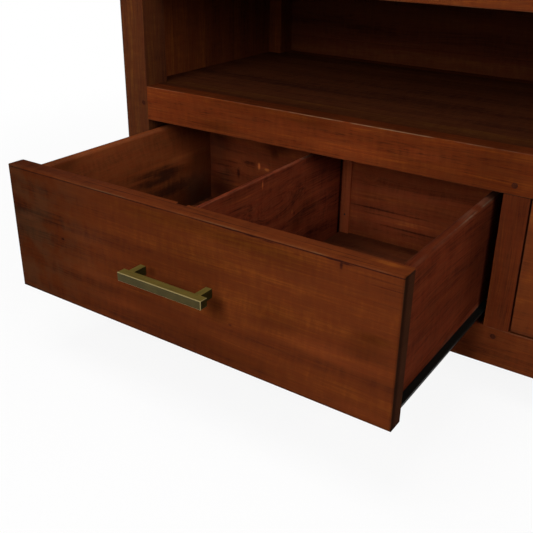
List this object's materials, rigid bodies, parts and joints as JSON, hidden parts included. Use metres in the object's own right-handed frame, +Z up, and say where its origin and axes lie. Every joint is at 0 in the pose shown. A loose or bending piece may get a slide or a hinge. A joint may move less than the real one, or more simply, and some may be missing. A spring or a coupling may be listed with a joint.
{
  "type": "tv stand",
  "caption": "Low wooden television stand with a pegged post-and-rail frame, an open shelf under the top, and divided drawers with bar handles on roller runners.",
  "frame": {"origin": "on the floor, under the middle of the frame's footprint", "axes": "+X along the stand to the right, +Y to the back, +Z up; the drawers open towards -Y"},
  "size_m": [1.37, 0.7714, 0.6],
  "materials": {
    "mahogany": "dark red-brown stain under satin lacquer",
    "drawer_wood": "dark red-brown stain, thinner satin lacquer",
    "inner_wood": "dark stain, matte",
    "peg_wood": "dark end grain, satin lacquer",
    "antique_brass": "brushed antique brass",
    "runner_steel": "black epoxy coat",
    "roller_plastic": "grey moulded plastic",
    "screw_steel": "zinc plated",
    "glide_plastic": "brown moulded plastic"
  },
  "bodies": {
    "frame": {"front_left_post": "mahogany", "front_right_post": "mahogany", "rear_left_post": "mahogany", "rear_right_post": "mahogany", "bottom_front_rail": "mahogany", "shelf_front_rail": "mahogany", "top_front_rail": "mahogany", "bottom_rear_rail": "mahogany", "shelf_rear_rail": "mahogany", "top_rear_rail": "mahogany", "left_bottom_side_rail": "mahogany", "left_top_side_rail": "mahogany", "right_bottom_side_rail": "mahogany", "right_top_side_rail": "mahogany", "front_centre_stile": "mahogany", "rear_centre_stile": "mahogany", "left_side_panel": "mahogany", "right_side_panel": "mahogany", "top_panel": "mahogany", "shelf_deck": "mahogany", "frame_cleats": "inner_wood", "niche_back_panel": "inner_wood", "drawer_back_panel": "inner_wood", "left_runner_bearer": "inner_wood", "centre_runner_bearer": "inner_wood", "right_runner_bearer": "inner_wood", "joint_pegs": "peg_wood", "top_screws": "screw_steel", "channel_screws": "screw_steel", "foot_glides": "glide_plastic", "left_drawer_channel_runners": "runner_steel", "right_drawer_channel_runners": "runner_steel"},
    "left_drawer": {"left_drawer_front": "mahogany", "left_drawer_left_side": "drawer_wood", "left_drawer_right_side": "drawer_wood", "left_drawer_back": "drawer_wood", "left_drawer_bottom": "drawer_wood", "left_drawer_divider": "drawer_wood", "left_drawer_divider_cleats": "drawer_wood", "left_drawer_handle_bar": "antique_brass", "left_drawer_handle_posts": "antique_brass", "left_drawer_handle_screws": "screw_steel", "left_drawer_angle_runners": "runner_steel", "left_drawer_angle_screws": "screw_steel"},
    "left_front_rollers": {"left_drawer_front_rollers": "roller_plastic"},
    "left_rear_rollers": {"left_drawer_rear_rollers": "roller_plastic"},
    "right_drawer": {"right_drawer_front": "mahogany", "right_drawer_left_side": "drawer_wood", "right_drawer_right_side": "drawer_wood", "right_drawer_back": "drawer_wood", "right_drawer_bottom": "drawer_wood", "right_drawer_divider": "drawer_wood", "right_drawer_divider_cleats": "drawer_wood", "right_drawer_handle_bar": "antique_brass", "right_drawer_handle_posts": "antique_brass", "right_drawer_handle_screws": "screw_steel", "right_drawer_angle_runners": "runner_steel", "right_drawer_angle_screws": "screw_steel"},
    "right_front_rollers": {"right_drawer_front_rollers": "roller_plastic"},
    "right_rear_rollers": {"right_drawer_rear_rollers": "roller_plastic"}
  },
  "joints": [
    {"name": "left_drawer_slide", "type": "slide", "parent": "frame", "child": "left_drawer", "axis": [0, -1, 0], "range_m": [-0.288, 0]},
    {"name": "left_front_roller_spin", "type": "hinge", "parent": "frame", "child": "left_front_rollers", "pos_m": [-0.319, -0.183, 0.1285], "axis": [1, 0, 0], "continuous": true},
    {"name": "left_rear_roller_spin", "type": "hinge", "parent": "left_drawer", "child": "left_rear_rollers", "pos_m": [-0.319, -0.097, 0.1305], "axis": [1, 0, 0], "continuous": true},
    {"name": "right_drawer_slide", "type": "slide", "parent": "frame", "child": "right_drawer", "axis": [0, -1, 0], "range_m": [0, 0.288]},
    {"name": "right_front_roller_spin", "type": "hinge", "parent": "frame", "child": "right_front_rollers", "pos_m": [0.319, -0.183, 0.1285], "axis": [1, 0, 0], "continuous": true},
    {"name": "right_rear_roller_spin", "type": "hinge", "parent": "right_drawer", "child": "right_rear_rollers", "pos_m": [0.319, 0.191, 0.1305], "axis": [1, 0, 0], "continuous": true}
  ],
  "couplings": [
    {"joint": "left_front_roller_spin", "follows": "left_drawer_slide", "rad_per_m": 111.11},
    {"joint": "left_rear_roller_spin", "follows": "left_drawer_slide", "rad_per_m": 111.11},
    {"joint": "right_front_roller_spin", "follows": "right_drawer_slide", "rad_per_m": 111.11},
    {"joint": "right_rear_roller_spin", "follows": "right_drawer_slide", "rad_per_m": 111.11}
  ]
}
